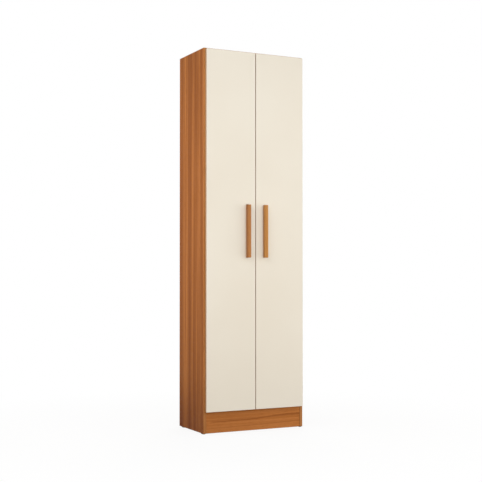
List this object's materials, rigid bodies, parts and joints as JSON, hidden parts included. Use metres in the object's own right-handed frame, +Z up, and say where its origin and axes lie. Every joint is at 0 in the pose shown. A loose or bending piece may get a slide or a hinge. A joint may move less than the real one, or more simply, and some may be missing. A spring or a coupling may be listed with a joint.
{
  "type": "broom cupboard",
  "caption": "Tall narrow broom cupboard with cream overlay doors on concealed hinges, upright bar handles, a plinth, a tall hanging bay and a bay of shelves.",
  "frame": {"origin": "on the floor under the middle of the whole part's box, handles included", "axes": "+Z up, doors face -Y, +X to the right seen from the front"},
  "size_m": [0.54, 0.339, 1.841],
  "materials": {
    "wood_grain_board": "satin wood-grain melamine, upright grain",
    "handle_wood": "satin, lighter orange-brown wood",
    "cream_board": "satin cream melamine",
    "white_board": "satin white melamine",
    "hardboard": "matt pressed fibre",
    "white_plastic": "moulded",
    "dark_plastic": "moulded",
    "clear_rubber": "soft, cloudy",
    "beech": "fluted, raw",
    "zinc": "zinc plated",
    "nickel_steel": "nickel plated",
    "spring_steel": "blued spring strip"
  },
  "bodies": {
    "carcass": {"left_side": "wood_grain_board", "right_side": "wood_grain_board", "top_panel": "wood_grain_board", "front_plinth": "wood_grain_board", "rear_plinth": "wood_grain_board", "bottom_panel": "white_board", "fixed_shelf": "white_board", "divider": "white_board", "lower_shelf": "white_board", "middle_shelf": "white_board", "upper_shelf": "white_board", "lower_back": "hardboard", "middle_back": "hardboard", "upper_back": "hardboard", "back_joiner": "white_plastic", "shelf_pins": "white_plastic", "glides": "dark_plastic", "side_dowels": "beech", "divider_dowels": "beech", "cam_nuts": "zinc", "cam_bolts": "zinc", "wall_brackets": "zinc", "bracket_screws": "zinc", "back_nails": "zinc", "broom_hooks": "zinc", "left_hinge_arms": "nickel_steel", "left_hinge_plates": "nickel_steel", "left_plate_screws": "nickel_steel", "left_arm_screws": "nickel_steel", "right_hinge_arms": "nickel_steel", "right_hinge_plates": "nickel_steel", "right_plate_screws": "nickel_steel", "right_arm_screws": "nickel_steel"},
    "left_door": {"left_door": "cream_board", "left_door_bumpers": "clear_rubber", "left_handle": "handle_wood", "left_handle_screws": "nickel_steel", "left_hinge_cups": "nickel_steel", "left_hinge_pins": "nickel_steel", "left_hinge_springs": "spring_steel", "left_cup_screws": "nickel_steel"},
    "right_door": {"right_door": "cream_board", "right_door_bumpers": "clear_rubber", "right_handle": "handle_wood", "right_handle_screws": "nickel_steel", "right_hinge_cups": "nickel_steel", "right_hinge_pins": "nickel_steel", "right_hinge_springs": "spring_steel", "right_cup_screws": "nickel_steel"}
  },
  "joints": [
    {"name": "left_door_hinge", "type": "hinge", "parent": "carcass", "child": "left_door", "pos_m": [-0.2575, -0.1347, 0.971], "axis": [0, 0, -1], "range_deg": [0, 100]},
    {"name": "right_door_hinge", "type": "hinge", "parent": "carcass", "child": "right_door", "pos_m": [0.2575, -0.1347, 0.971], "axis": [0, 0, 1], "range_deg": [0, 100]}
  ]
}
